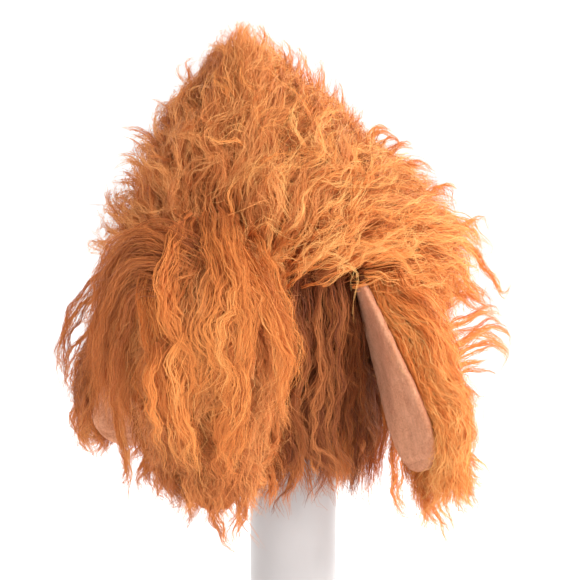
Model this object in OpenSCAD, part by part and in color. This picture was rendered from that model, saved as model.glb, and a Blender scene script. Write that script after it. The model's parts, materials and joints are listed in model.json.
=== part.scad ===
// Long-haired floppy-eared hand puppet head, slipped over a white two-part display tube.
// +Z is up, the front of the display is -Y, and the origin is the centre of the tube's foot.

/* [Display tube] */
// Outer diameter of the tube
tube_d = 55; // [46:1:58]
// Wall of both tube sections
tube_wall = 1.6; // [1.2:0.1:2.4]
// Height of the lower section, which is the height of the seam
lower_h = 125; // [100:5:150]
// Length of the upper section above the seam
upper_h = 129; // [108:1:155]
// Length of the spigot that the upper section turns on
spigot_h = 24; // [15:1:35]
// Radius of the rounded upper edge
top_round = 4; // [2:0.5:6]
// Height of the steel weight in the foot
weight_h = 42; // [20:1:60]

/* [Head] */
// Radius of the foam skull, seen from above
skull_r = 54; // [52:1:65]
// Height of the skull's dome over the ear roots
dome_h = 56; // [46:1:68]
// How far the skull's axis lies in front of the hand pocket's axis
skull_forward = 9; // [8:0.5:11]
// Turn of the head on the tube, towards the viewer's left
head_yaw = 30; // [0:1:45]
// How far the head hangs off the tube's axis, towards the viewer's left
head_shift = 7; // [0:0.5:7]
// Inner radius of the hand pocket
pocket_r = 36; // [35.5:0.5:37]
// Depth of the hand pocket, from the hem to the top of the tube
pocket_h = 96; // [80:1:115]

/* [Cloth] */
// Thickness of the knitted backing that the pile grows from
skin_t = 1.2; // [0.8:0.1:1.6]
// Thickness of the pocket lining
lining_t = 1.2; // [0.8:0.1:1.6]
// Free space between two layers
layer_gap = 0.3; // [0.2:0.05:0.5]
// Height of the rolled hem
hem_h = 4; // [3:0.5:8]

/* [Mouth] */
// Half width of the muzzle's foam
muzzle_r = 34; // [30:1:36]
// Distance from the pocket's axis to the tip of the muzzle's foam
muzzle_reach = 112; // [104:1:122]
// Height of the muzzle's foam above the mouth
muzzle_h = 31; // [27:1:33]
// Depth of the jaw's foam under the mouth
jaw_h = 26; // [20:1:30]
// Thickness of the two mouth boards
board_t = 2.4; // [1.6:0.1:3]
// Thickness of the cloth on the mouth boards
palate_t = 0.8; // [0.5:0.1:1]
// Clear height of the closed mouth, between the two cloths
mouth_gap = 1.6; // [1:0.1:3]
// Radius of the cord that the jaw folds on
fold_cord_r = 1.5; // [1.2:0.1:1.8]
// Height of the finger stall over the upper board
stall_h = 18; // [16:1:20]
// Half width of the finger stall
stall_half_w = 24; // [20:1:25]

/* [Ears] */
// Length of an ear
ear_len = 122; // [105:1:140]
// Widest width of an ear
ear_w = 58; // [48:1:66]
// Width of an ear at its root
ear_root_w = 34; // [26:1:36]
// Thickness of an ear without its pile
ear_t = 6.4; // [5:0.2:8]
// Thickness of the ear's velour lining
velour_t = 1; // [0.8:0.1:1.4]
// Distance of each ear root outside the foam skull's radius
ear_out = 14.6; // [13:0.2:20]
// Distance of the ear roots in front of the pocket's axis
ear_forward = 26; // [20:0.5:30]
// How far the lining is turned forward from facing the head
ear_twist = 43; // [36:1:46]
// Outward lean of a hanging ear
ear_splay = 18; // [12:1:24]
// Forward rake of a hanging ear
ear_rake = 11; // [6:1:16]
// Radius of the cord in the ear's root seam
ear_cord_r = 1.5; // [1.2:0.1:1.8]
// Depth of the pile on the back of an ear
ear_pile = 38; // [30:1:42]
// How far the ear's locks hang below its tip
ear_locks = 20; // [12:1:26]

/* [Pile] */
// Height of the crest over the skull's dome
crest_h = 90; // [70:1:100]
// Radius of the mass of locks over the ears
mass_r = 100; // [90:1:108]
// Depth of the pile on the cheeks
cheek_pile = 5; // [3:0.5:6]
// Depth of the locks at the nape
nape_pile = 38; // [30:1:42]
// Depth of the pile around the muzzle and jaw
muzzle_pile = 13; // [9:1:14]
// Length of the beard under the mouth
beard_h = 124; // [100:1:132]

/* [Hidden] */
$fn = 64;

fit = 0.06;          // radial clearance of a turning fit
hole_gap = 0.1;      // radial clearance around a sewn-in cord
cut = 400;           // size of the blocks that only cut
eps = 0.5;           // overshoot of a cut

tube_r = tube_d / 2;
tube_top = lower_h + upper_h;
hem_z = tube_top - pocket_h;
bore_r = pocket_r + lining_t + layer_gap;

ear_z = tube_top + 2;
mass_z = ear_z + 10;
foam_z = hem_z + 14;
pocket_z = tube_top + fit;
dome_z = tube_top + lining_t + layer_gap;
skull_top = ear_z + dome_h;
ear_side = skull_r + ear_out;
skin_r = skull_r + layer_gap;
fur_r = skin_r + skin_t + layer_gap;

mouth_z = tube_top - 28;
fold_y = -(bore_r + 8.5);
bay_y = fold_y + 4;
bay_half_w = muzzle_r + muzzle_pile - 1;
bay_gap = 1.5;
bay_z = mouth_z + 1.5;
cheek_bay_z = mouth_z - 21;
upper_palate_z = mouth_z + mouth_gap / 2;
upper_board_z = upper_palate_z + palate_t;
lower_palate_z = mouth_z - mouth_gap / 2 - palate_t;
lower_board_z = lower_palate_z - board_t;
muzzle_z = upper_board_z + board_t + layer_gap;
muzzle_y = -(muzzle_reach - muzzle_r);
stall_z = muzzle_z + 2;
stall_front = -(muzzle_reach - 18);
stall_cut = lining_t + layer_gap;
jaw_z = lower_board_z - layer_gap - jaw_h;
beard_back = -72;
knuckle_r = fold_cord_r + 1.1;
knuckle_half_w = muzzle_r - 8;
palate_back = fold_y - knuckle_r - 1.5;
fold_cord_half = sqrt(pow(skull_r, 2) - pow(fold_y + skull_forward, 2)) - 1;

loop_r = ear_cord_r + 1.7;
loop_half_w = ear_root_w / 2 - 3;
rim_w = 2;
velour_x = ear_t / 2;

pile_color = [0.80, 0.47, 0.22];
cloth_color = [0.45, 0.24, 0.12];
foam_color = [0.93, 0.88, 0.70];
velour_color = [0.74, 0.50, 0.40];
board_color = [0.72, 0.60, 0.42];
palate_color = [0.45, 0.12, 0.12];
lining_color = [0.16, 0.15, 0.16];
white_plastic = [0.93, 0.93, 0.94];

// ---- places ----

module head_frame() {
    translate([-head_shift, 0, 0]) rotate([0, 0, -head_yaw]) children();
}

// The right ear's frame, seen from the head's. It hangs along -Z from its root,
// its width runs along Y and its pile is on +X.
module head_local_right_ear() {
    translate([ear_side, -ear_forward, ear_z]) rotate([0, 0, ear_twist])
        rotate([0, -ear_splay, 0]) rotate([-ear_rake, 0, 0]) children();
}

module head_local_left_ear() {
    mirror([1, 0, 0]) head_local_right_ear() children();
}

module right_ear_frame() { head_frame() head_local_right_ear() children(); }
module left_ear_frame() { head_frame() head_local_left_ear() children(); }

module on_skull_axis() { translate([0, -skull_forward, 0]) children(); }

// ---- outlines ----

// Quarter arc from angle a0 to a1, with radii rx and rz, about [x, z].
function arc(x, z, rx, rz, a0, a1, n) =
    [for (i = [0 : n]) let (a = a0 + (a1 - a0) * i / n) [x + rx * cos(a), z + rz * sin(a)]];

// The skull, grown by g: straight sides under a domed top, closed at the axis.
function skull_profile(g, base_z) = concat(
    [[0, base_z], [skull_r + g, base_z]],
    arc(0, ear_z, skull_r + g, dome_h + g, 0, 84, 14),
    [[0, ear_z + (dome_h + g) * sin(84)]]);

// Half width of an ear at t, where 0 is its root and 1 is its tip.
function ear_half(t) = t < 0.6
    ? ear_root_w / 2 + (ear_w - ear_root_w) / 2 * sin(90 * t / 0.6)
    : ear_w / 2 * sqrt(max(0, 1 - pow((t - 0.6) / 0.4, 2)));

// The ear's outline, grown by g, from below the root seam to the tip.
function ear_side_points(g, s) =
    [for (i = [0 : 24])
        let (
            t = i < 12 ? 0.6 * i / 12 : 0.6 + 0.4 * sin(90 * (i - 12) / 12),
            side = i < 24 ? g : 0)
        [s * (ear_half(t) + side), -(loop_r + layer_gap) - t * (ear_len - loop_r) - (g - side)]];

function reversed(list) = [for (i = [len(list) - 1 : -1 : 0]) list[i]];

module ear_outline(g) {
    polygon(concat(ear_side_points(g, 1), reversed(ear_side_points(g, -1))));
}

// A flat sheet with the ear's outline, from x0 to x0 + t.
module ear_sheet(g, x0, t) {
    translate([x0, 0, 0]) rotate([90, 0, 90]) linear_extrude(t) ear_outline(g);
}

// The muzzle's plan: straight sides and a round front, grown by g, back to y1.
module muzzle_plan(g, y1) {
    intersection() {
        translate([0, muzzle_y]) circle(r = muzzle_r + g);
        translate([-cut / 2, muzzle_y - cut]) square(cut);
    }
    translate([-(muzzle_r + g), muzzle_y - eps]) square([2 * (muzzle_r + g), y1 - muzzle_y + eps]);
}

// ---- shells and cutters ----

module skull_solid(g, base_z) {
    on_skull_axis() rotate_extrude($fn = 96) polygon(skull_profile(g, base_z));
}

// Part of a turned profile, from angle a0 over da.
module turned_sector(points, a0, da) {
    on_skull_axis() rotate([0, 0, a0]) rotate_extrude(angle = da, $fn = 96) polygon(points);
}

module pocket_cut(r) {
    translate([0, 0, hem_z - cut]) cylinder(r = r, h = tube_top - hem_z + cut + lining_t + layer_gap);
}

// The bay in the front of the throat that the jaw swings in: wide below, for the beard.
module jaw_bay() {
    translate([-muzzle_r - bay_gap, bay_y - cut, bay_z - cut]) cube([2 * (muzzle_r + bay_gap), cut, cut]);
    translate([-bay_half_w, bay_y - cut, cheek_bay_z - cut]) cube([2 * bay_half_w, cut, cut]);
}

module finger_cut(g) {
    translate([-stall_half_w - g, stall_front - g, stall_z - g])
        cube([2 * (stall_half_w + g), -stall_front + g, stall_h + 2 * g]);
}

module ear_cord(g) {
    rotate([90, 0, 0]) translate([0, 0, -(ear_root_w / 2 + 8)])
        cylinder(r = ear_cord_r + g, h = ear_root_w + 4);
}

module ear_cord_cuts() {
    head_local_right_ear() ear_cord(hole_gap);
    head_local_left_ear() ear_cord(hole_gap);
}

// Room for an ear's root and blade at rest.
module ear_room() {
    translate([-ear_t / 2 - 1.5, -ear_w / 2 - 4, -ear_len - 8])
        cube([ear_t + ear_pile + 3, ear_w + 8, ear_len + 8 + loop_r + 2]);
}

module ear_rooms() {
    head_local_right_ear() ear_room();
    head_local_left_ear() ear_room();
}

// ---- display tube ----

module stand_lower_tube() {
    color(white_plastic) difference() {
        union() {
            cylinder(r = tube_r, h = lower_h, $fn = 128);
            cylinder(r = tube_r - tube_wall - fit, h = lower_h + spigot_h, $fn = 128);
        }
        translate([0, 0, tube_wall])
            cylinder(r = tube_r - 2 * tube_wall - fit, h = lower_h + spigot_h, $fn = 128);
    }
}

module stand_weight() {
    color([0.55, 0.56, 0.58]) translate([0, 0, tube_wall])
        cylinder(r = tube_r - 2 * tube_wall - fit - hole_gap, h = weight_h, $fn = 128);
}

module stand_upper_tube() {
    color(white_plastic) translate([0, 0, lower_h]) difference() {
        rotate_extrude($fn = 128) polygon(concat(
            [[0, 0], [tube_r, 0]],
            arc(tube_r - top_round, upper_h - top_round, top_round, top_round, 0, 90, 10),
            [[0, upper_h]]));
        translate([0, 0, -eps])
            cylinder(r = tube_r - tube_wall, h = upper_h - top_round - tube_wall + eps, $fn = 128);
    }
}

// ---- foam and linings ----

// The foam skull, which is glued up from a dome on blocks around the hand pocket.
module skull_foam() {
    difference() {
        skull_solid(0, foam_z);
        pocket_cut(bore_r);
        jaw_bay();
        translate([-stall_half_w - stall_cut, -cut, stall_z - stall_cut])
            cube([2 * (stall_half_w + stall_cut), cut, dome_z - hole_gap / 2 - stall_z + stall_cut]);
        translate([-muzzle_r - hole_gap, muzzle_y, mouth_z - eps])
            cube([2 * (muzzle_r + hole_gap), bay_y - muzzle_y, muzzle_z - mouth_z + eps]);
        fold_cord(hole_gap);
        ear_cord_cuts();
    }
}

// A quarter of the foam under the dome, around angle a of the pocket's axis.
module foam_block(a) {
    intersection() {
        skull_foam();
        rotate([0, 0, a - 44.8]) rotate_extrude(angle = 89.6, $fn = 96)
            translate([1, foam_z - eps]) square([cut / 2, dome_z - hole_gap - foam_z + eps]);
    }
}

// The part of the front quarter between x0 and x1.
module throat_part(x0, x1) {
    color(foam_color) head_frame() intersection() {
        foam_block(270);
        translate([x0, -cut, 0]) cube([x1 - x0, cut, cut]);
    }
}

module foam_left() { color(foam_color) head_frame() foam_block(180); }
module foam_right() { color(foam_color) head_frame() foam_block(0); }
module foam_back() { color(foam_color) head_frame() foam_block(90); }
module foam_throat() { throat_part(-stall_half_w - stall_cut, stall_half_w + stall_cut); }
module foam_throat_left() { throat_part(-cut, -stall_half_w - stall_cut - hole_gap); }
module foam_throat_right() { throat_part(stall_half_w + stall_cut + hole_gap, cut); }

module foam_dome() {
    color(foam_color) head_frame() intersection() {
        skull_foam();
        translate([-cut / 2, -cut / 2, dome_z]) cube(cut);
    }
}

module foam_muzzle() {
    color(foam_color) head_frame() difference() {
        translate([0, 0, muzzle_z]) linear_extrude(muzzle_h) muzzle_plan(0, -skull_forward);
        skull_solid(layer_gap, foam_z);
        finger_cut(stall_cut);
    }
}

// The pocket's lining, closed by the disc that sits on the tube and open to the finger stall.
module hand_sleeve() {
    color(lining_color) head_frame() difference() {
        translate([0, 0, hem_z]) cylinder(r = pocket_r + lining_t, h = pocket_z + lining_t - hem_z, $fn = 96);
        translate([0, 0, hem_z - eps]) cylinder(r = pocket_r, h = pocket_z - hem_z + eps, $fn = 96);
        finger_cut(0);
    }
}

module finger_stall() {
    color(lining_color) head_frame() difference() {
        finger_cut(lining_t);
        finger_cut(0);
        translate([0, 0, stall_z - cut / 2]) cylinder(r = pocket_r + lining_t + layer_gap, h = cut, $fn = 96);
        translate([-cut / 2, 0, stall_z - cut / 2]) cube(cut);
    }
}

module neck_hem() {
    color(cloth_color) head_frame() on_skull_axis() difference() {
        translate([0, 0, hem_z]) cylinder(r = skin_r + skin_t, h = hem_h, $fn = 96);
        translate([0, skull_forward, hem_z - eps]) cylinder(r = bore_r, h = hem_h + 2 * eps, $fn = 96);
        translate([0, skull_forward, 0]) jaw_bay();
    }
}

// ---- backing cloth ----

module skin_shell(base_z, top_z, a0, da) {
    turned_sector([
        [skin_r, base_z], [skin_r + skin_t, base_z],
        [skin_r + skin_t, top_z], [skin_r, top_z]], a0, da);
}

module skin_crown() {
    color(cloth_color) head_frame() difference() {
        skull_solid(layer_gap + skin_t, ear_z);
        skull_solid(layer_gap, ear_z - eps);
        translate([-muzzle_r - layer_gap, -cut, ear_z - eps])
            cube([
                2 * (muzzle_r + layer_gap), cut - skull_forward,
                muzzle_z + muzzle_h - ear_z + eps + layer_gap]);
        ear_cord_cuts();
    }
}

module side_skin() {
    difference() {
        skin_shell(hem_z + hem_h + layer_gap, ear_z - layer_gap, -60, 90);
        jaw_bay();
        translate([-cut / 2, -cut + muzzle_y, muzzle_z - 5]) cube(cut);
        translate([-muzzle_r - layer_gap, -cut, mouth_z - eps])
            cube([2 * (muzzle_r + layer_gap), cut - skull_forward, cut]);
        head_local_right_ear() ear_cord(hole_gap);
    }
}

module skin_left() { color(cloth_color) head_frame() mirror([1, 0, 0]) side_skin(); }
module skin_right() { color(cloth_color) head_frame() side_skin(); }

module skin_nape() {
    color(cloth_color) head_frame()
        skin_shell(hem_z + hem_h + layer_gap, ear_z - layer_gap, 30.5, 119);
}

module skin_throat() {
    color(cloth_color) head_frame()
        translate([-muzzle_r - 1, bay_y - layer_gap - skin_t, foam_z])
            cube([2 * muzzle_r + 2, skin_t, lower_board_z - 3 - foam_z]);
}

// ---- mouth ----

module fold_cord(g) {
    translate([-fold_cord_half, fold_y, mouth_z]) rotate([0, 90, 0])
        cylinder(r = fold_cord_r + g, h = 2 * fold_cord_half, $fn = 48);
}

module mouth_fold_cord() { color(cloth_color) head_frame() fold_cord(0); }

module mouth_sheet(z, t, g, back) {
    translate([0, 0, z]) linear_extrude(t) muzzle_plan(g, back);
}

module upper_mouth_board() {
    color(board_color) head_frame() mouth_sheet(upper_board_z, board_t, -1.5, palate_back);
}

module upper_palate() {
    color(palate_color) head_frame() mouth_sheet(upper_palate_z, palate_t, -1.5, palate_back);
}

// The lower board ends in a loop that turns on the fold cord.
module lower_mouth_board() {
    color(board_color) head_frame() difference() {
        union() {
            mouth_sheet(lower_board_z, board_t, -1.5, fold_y - knuckle_r);
            translate([-knuckle_half_w, fold_y - knuckle_r - 3, lower_board_z])
                cube([2 * knuckle_half_w, knuckle_r + 3, board_t]);
            translate([-knuckle_half_w, fold_y, mouth_z]) rotate([0, 90, 0])
                cylinder(r = knuckle_r, h = 2 * knuckle_half_w, $fn = 48);
            translate([-knuckle_half_w, fold_y - knuckle_r / 2, lower_board_z])
                cube([2 * knuckle_half_w, knuckle_r / 2, mouth_z - lower_board_z]);
        }
        fold_cord(fit);
    }
}

module lower_palate() {
    color(palate_color) head_frame() mouth_sheet(lower_palate_z, palate_t, -1.5, palate_back);
}

// The jaw's foam slopes forward at the back, so that it clears the throat when it swings down.
module foam_jaw() {
    color(foam_color) head_frame() intersection() {
        translate([0, 0, jaw_z]) linear_extrude(jaw_h) muzzle_plan(-2, fold_y);
        rotate([90, 0, 90]) translate([0, 0, -cut / 2]) linear_extrude(cut) polygon([
            [-cut, jaw_z - eps], [fold_y - 6 - jaw_h * 0.42, jaw_z - eps],
            [fold_y - 5, jaw_z + jaw_h + eps], [-cut, jaw_z + jaw_h + eps]]);
    }
}

// ---- ears ----

module ear_rim() {
    difference() {
        union() {
            ear_sheet(rim_w, -ear_t / 2, ear_t);
            rotate([90, 0, 0]) translate([0, 0, -loop_half_w])
                cylinder(r = loop_r, h = 2 * loop_half_w, $fn = 48);
            translate([-loop_r / 2, -loop_half_w, -loop_r - 2]) cube([loop_r, 2 * loop_half_w, loop_r + 2]);
        }
        difference() {
            ear_sheet(0, -ear_t, 2 * ear_t);
            translate([-ear_t, -ear_w, -loop_r - 3]) cube([2 * ear_t, 2 * ear_w, loop_r + 3]);
        }
        rotate([90, 0, 0]) translate([0, 0, -ear_w])
            cylinder(r = ear_cord_r + fit, h = 2 * ear_w, $fn = 48);
    }
}

module ear_layer(x0, t) {
    difference() {
        ear_sheet(-hole_gap, x0, t);
        translate([-ear_t, -ear_w, -loop_r - 3 - hole_gap]) cube([2 * ear_t, 2 * ear_w, cut]);
    }
}

module ear_lining() { ear_layer(-velour_x, velour_t); }
module ear_wadding() {
    ear_layer(-velour_x + velour_t + hole_gap, ear_t - velour_t - skin_t - 2 * hole_gap);
}
module ear_skin() { ear_layer(velour_x - skin_t, skin_t); }

// The locks on the back: shallow at the root, so that a lifted ear clears the crown.
module ear_fur() {
    x0 = ear_t / 2 + layer_gap;
    intersection() {
        ear_sheet_long(3, x0, ear_pile);
        rotate([90, 0, 0]) translate([0, 0, -ear_w]) linear_extrude(2 * ear_w) polygon([
            [x0, -loop_r - 4], [x0 + 2, -loop_r - 4],
            [x0 + ear_pile, -loop_r - 62], [x0 + ear_pile, -ear_len],
            [x0 + ear_pile * 0.55, -ear_len - ear_locks], [x0, -ear_len - ear_locks]]);
    }
}

module ear_sheet_long(g, x0, t) {
    translate([x0, 0, 0]) rotate([90, 0, 90]) linear_extrude(t)
        scale([1, (ear_len + ear_locks) / ear_len]) ear_outline(g);
}

module left_ear_cord() { color(cloth_color) left_ear_frame() ear_cord(0); }
module right_ear_cord() { color(cloth_color) right_ear_frame() ear_cord(0); }
module left_ear_rim() { color(cloth_color) left_ear_frame() ear_rim(); }
module left_ear_lining() { color(velour_color) left_ear_frame() ear_lining(); }
module left_ear_wadding() { color(foam_color) left_ear_frame() ear_wadding(); }
module left_ear_skin() { color(cloth_color) left_ear_frame() ear_skin(); }
module left_ear_fur() { color(pile_color) left_ear_frame() ear_fur(); }
module right_ear_rim() { color(cloth_color) right_ear_frame() ear_rim(); }
module right_ear_lining() { color(velour_color) right_ear_frame() ear_lining(); }
module right_ear_wadding() { color(foam_color) right_ear_frame() ear_wadding(); }
module right_ear_skin() { color(cloth_color) right_ear_frame() ear_skin(); }
module right_ear_fur() { color(pile_color) right_ear_frame() ear_fur(); }

// ---- pile ----

// The mass of locks over the ears: full at its base, with a blunt crest on top.
function mass_profile() = concat(
    [[0, mass_z], [mass_r, mass_z]],
    arc(0, mass_z, mass_r, skull_top + crest_h - mass_z, 10, 80, 9),
    [[0, mass_z + (skull_top + crest_h - mass_z) * sin(80)]]);

module mass_sector(a0, da) {
    difference() {
        turned_sector(mass_profile(), a0, da);
        skull_solid(2 * layer_gap + skin_t, ear_z - eps);
        ear_cord_cuts();
    }
}

module fur_forehead() { color(pile_color) head_frame() mass_sector(-139.8, 99.6); }
module fur_crown_right() { color(pile_color) head_frame() mass_sector(-39.8, 79.6); }
module fur_crown_back() { color(pile_color) head_frame() mass_sector(40.2, 99.6); }
module fur_crown_left() { color(pile_color) head_frame() mass_sector(140.2, 79.6); }

module cheek() {
    difference() {
        turned_sector([
            [fur_r, foam_z], [fur_r + cheek_pile, foam_z + 6],
            [fur_r + cheek_pile, mass_z - layer_gap], [fur_r, mass_z - layer_gap]], -60, 89.6);
        skull_solid(2 * layer_gap + skin_t, foam_z - eps);
        jaw_bay();
        translate([-muzzle_r - muzzle_pile - layer_gap, -cut, mouth_z - eps])
            cube([2 * (muzzle_r + muzzle_pile + layer_gap), cut - skull_forward, cut]);
        head_local_right_ear() ear_room();
        head_local_right_ear() ear_cord(hole_gap);
    }
}

module fur_left_cheek() { color(pile_color) head_frame() mirror([1, 0, 0]) cheek(); }
module fur_right_cheek() { color(pile_color) head_frame() cheek(); }

module fur_nape() {
    color(pile_color) head_frame() difference() {
        turned_sector([[fur_r, hem_z - 6], [fur_r + nape_pile * 0.4, hem_z - 6],
            [fur_r + nape_pile, hem_z + 50], [fur_r + nape_pile, mass_z - layer_gap],
            [fur_r, mass_z - layer_gap]], 38, 104);
        skull_solid(2 * layer_gap + skin_t, hem_z - 10);
        ear_rooms();
    }
}

module fur_muzzle() {
    color(pile_color) head_frame() difference() {
        translate([0, 0, mouth_z + 1]) linear_extrude(mass_z - layer_gap - mouth_z - 1)
            muzzle_plan(muzzle_pile, -skull_forward);
        translate([0, 0, mouth_z]) linear_extrude(muzzle_z + muzzle_h + layer_gap - mouth_z)
            muzzle_plan(layer_gap, 0);
        skull_solid(2 * layer_gap + skin_t, foam_z - cut);
        ear_rooms();
    }
}

// The beard hangs from the jaw, all of it in front of the tube.
module fur_beard() {
    color(pile_color) head_frame() difference() {
        translate([0, 0, mouth_z - 1.5 - beard_h]) linear_extrude(beard_h) intersection() {
            muzzle_plan(muzzle_pile - 2.5, 0);
            translate([-cut / 2, beard_back - cut]) square(cut);
        }
        translate([0, 0, jaw_z - layer_gap]) linear_extrude(cut) muzzle_plan(-1.2, 0);
        translate([0, -muzzle_reach - muzzle_pile, mouth_z - beard_h]) rotate([-16, 0, 0])
            translate([-cut / 2, -cut, -cut / 2]) cube(cut);
    }
}

stand_lower_tube();
stand_weight();
stand_upper_tube();
foam_dome();
foam_left();
foam_right();
foam_back();
foam_throat();
foam_throat_left();
foam_throat_right();
foam_muzzle();
hand_sleeve();
finger_stall();
neck_hem();
skin_crown();
skin_left();
skin_right();
skin_nape();
skin_throat();
upper_mouth_board();
upper_palate();
mouth_fold_cord();
left_ear_cord();
right_ear_cord();
fur_forehead();
fur_crown_left();
fur_crown_right();
fur_crown_back();
fur_left_cheek();
fur_right_cheek();
fur_nape();
fur_muzzle();
lower_mouth_board();
lower_palate();
foam_jaw();
fur_beard();
left_ear_rim();
left_ear_lining();
left_ear_wadding();
left_ear_skin();
left_ear_fur();
right_ear_rim();
right_ear_lining();
right_ear_wadding();
right_ear_skin();
right_ear_fur();
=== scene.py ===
"""Long-haired hand puppet head on a display tube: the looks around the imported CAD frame."""

import json
import math
from functools import partial

import bmesh
import bpy
import numpy as np
from mathutils import Matrix, Vector


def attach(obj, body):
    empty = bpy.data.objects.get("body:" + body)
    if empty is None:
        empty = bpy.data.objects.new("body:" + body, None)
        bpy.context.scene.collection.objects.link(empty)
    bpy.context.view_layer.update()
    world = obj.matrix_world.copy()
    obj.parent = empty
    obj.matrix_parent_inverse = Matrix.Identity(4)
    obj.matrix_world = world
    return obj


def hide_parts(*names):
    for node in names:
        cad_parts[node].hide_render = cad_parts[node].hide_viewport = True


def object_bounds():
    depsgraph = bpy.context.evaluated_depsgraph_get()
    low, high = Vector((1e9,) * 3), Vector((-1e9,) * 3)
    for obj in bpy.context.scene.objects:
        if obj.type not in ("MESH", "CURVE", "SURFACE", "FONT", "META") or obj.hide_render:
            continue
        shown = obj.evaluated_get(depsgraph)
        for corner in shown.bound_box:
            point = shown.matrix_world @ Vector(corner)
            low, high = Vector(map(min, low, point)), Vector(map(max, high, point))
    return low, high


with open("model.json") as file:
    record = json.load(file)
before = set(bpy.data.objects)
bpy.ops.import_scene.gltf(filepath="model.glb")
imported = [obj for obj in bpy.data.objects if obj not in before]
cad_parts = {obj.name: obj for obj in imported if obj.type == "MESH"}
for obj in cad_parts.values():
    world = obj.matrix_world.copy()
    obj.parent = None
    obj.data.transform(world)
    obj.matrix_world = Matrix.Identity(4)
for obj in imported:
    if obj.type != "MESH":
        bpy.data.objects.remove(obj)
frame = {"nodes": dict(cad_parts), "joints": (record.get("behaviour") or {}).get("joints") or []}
cad_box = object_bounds()
nodes, joints = frame["nodes"], {j["name"]: j for j in frame["joints"]}
scene = bpy.context.scene
MM = 0.001
PILE_MAP = "OFBake"

# Soft pieces may stand a little proud of the CAD box, and bend back before they reach that limit.
PROUD_SHARE, PROUD_MM = 0.03, 9.0
CAD_LOW, CAD_HIGH = (np.array(c, float) / MM for c in cad_box)
PROUD = PROUD_SHARE * (CAD_HIGH - CAD_LOW) + PROUD_MM
SOFT_ZONE = np.array([9.0, 9.0, 13.0])


def kept_in(p):
    """Points, in mm, eased back before the limits of the box. The floor needs no such limit."""
    for sign, limit in ((1, CAD_HIGH + PROUD - SOFT_ZONE), (-1, -(CAD_LOW - PROUD + SOFT_ZONE))):
        over = np.maximum(sign * p - limit, 0)
        if sign < 0:
            over[..., 2] = 0
        p = p + sign * (SOFT_ZONE * np.tanh(over / SOFT_ZONE) - over)
    return p


# ---- camera and studio

AIM, VIEW_DISTANCE, VIEW_RISE = Vector((-0.002, 0.0, 0.2474)), 1.23, math.radians(3)
LENS_MM, SENSOR_MM = 120, 36
WORLD_LIGHT = 0.34


def look_at(ob, target):
    ob.rotation_euler = (Vector(target) - ob.location).to_track_quat("-Z", "Y").to_euler()


camera = bpy.data.objects.new("camera", bpy.data.cameras.new("camera"))
camera.data.lens, camera.data.sensor_width = LENS_MM, SENSOR_MM
camera.location = AIM + VIEW_DISTANCE * Vector((0, -math.cos(VIEW_RISE), math.sin(VIEW_RISE)))
look_at(camera, AIM)
scene.collection.objects.link(camera)
scene.camera = camera
scene.view_settings.view_transform = "Standard"


def area_light(name, place, target, size, power):
    lamp = bpy.data.lights.new(name, "AREA")
    lamp.size, lamp.energy = size, power
    ob = bpy.data.objects.new(name, lamp)
    ob.location = place
    look_at(ob, target)
    scene.collection.objects.link(ob)


area_light("key", (0.95, -0.85, 0.95), target=(0.0, 0.0, 0.26), size=0.55, power=22)
area_light("rim", (0.9, 0.8, 0.7), target=(0.0, 0.0, 0.3), size=0.8, power=12)
area_light("rim_left", (-0.95, 0.75, 0.6), target=(0.0, 0.0, 0.3), size=0.8, power=6)
area_light("fill", (-0.9, -1.1, 0.5), target=(0.0, 0.0, 0.22), size=0.9, power=3)

world = bpy.data.worlds.new("studio")
scene.world = world
world.use_nodes = True
background = world.node_tree.nodes["Background"]
background.inputs["Color"].default_value = (1, 1, 1, 1)
background.inputs["Strength"].default_value = WORLD_LIGHT

# ---- small helpers


def unit(v):
    return v / np.maximum(np.linalg.norm(v, axis=-1, keepdims=True), 1e-9)


def grid(rows, cols, closed):
    """The quads between rows of points that run around; closed joins the last row to the first."""
    i, j = np.arange(rows if closed else rows - 1)[:, None], np.arange(cols)
    i1, j1 = (i + 1) % rows, (j + 1) % cols
    return np.stack([i * cols + j, i * cols + j1, i1 * cols + j1, i1 * cols + j], -1).reshape(-1, 4)


def mesh_object(name, verts, faces, uvs=None):
    """A mesh object from arrays: verts in mm, faces as a list of equal-sided index arrays."""
    me = bpy.data.meshes.new(name)
    verts = np.asarray(verts, float).reshape(-1, 3) * MM
    loops = np.concatenate([f.ravel() for f in faces])
    sizes = np.concatenate([np.full(len(f), f.shape[1]) for f in faces])
    me.vertices.add(len(verts))
    me.vertices.foreach_set("co", verts.ravel())
    me.loops.add(len(loops))
    me.loops.foreach_set("vertex_index", loops.astype(np.int32))
    me.polygons.add(len(sizes))
    me.polygons.foreach_set("loop_start", (np.cumsum(sizes) - sizes).astype(np.int32))
    if uvs is not None:
        layer = me.uv_layers.new(name=PILE_MAP)
        layer.data.foreach_set("uv", np.concatenate([u.reshape(-1) for u in uvs]).astype(np.float32))
    me.polygons.foreach_set("use_smooth", np.full(len(sizes), True))
    me.update(calc_edges=True)
    me.validate()
    ob = bpy.data.objects.new(name, me)
    scene.collection.objects.link(ob)
    return ob


# ---- materials


def new_material(name, base, rough):
    m = bpy.data.materials.new(name)
    m.use_nodes = True
    shader = m.node_tree.nodes["Principled BSDF"]
    shader.inputs["Base Color"].default_value = (*base, 1)
    shader.inputs["Roughness"].default_value = rough
    return m, m.node_tree, shader


def add(tree, kind, **values):
    node = tree.nodes.new(kind)
    for key, value in values.items():
        setattr(node, key, value)
    return node


def noise(tree, vector, scale, detail=4.0, rough=0.6, stretch=None):
    n = add(tree, "ShaderNodeTexNoise")
    n.inputs["Scale"].default_value = scale
    n.inputs["Detail"].default_value = detail
    n.inputs["Roughness"].default_value = rough
    if stretch:
        m = add(tree, "ShaderNodeMapping")
        m.inputs["Scale"].default_value = stretch
        tree.links.new(vector, m.inputs[0])
        vector = m.outputs[0]
    tree.links.new(vector, n.inputs["Vector"])
    return n.outputs["Fac"]


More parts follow.
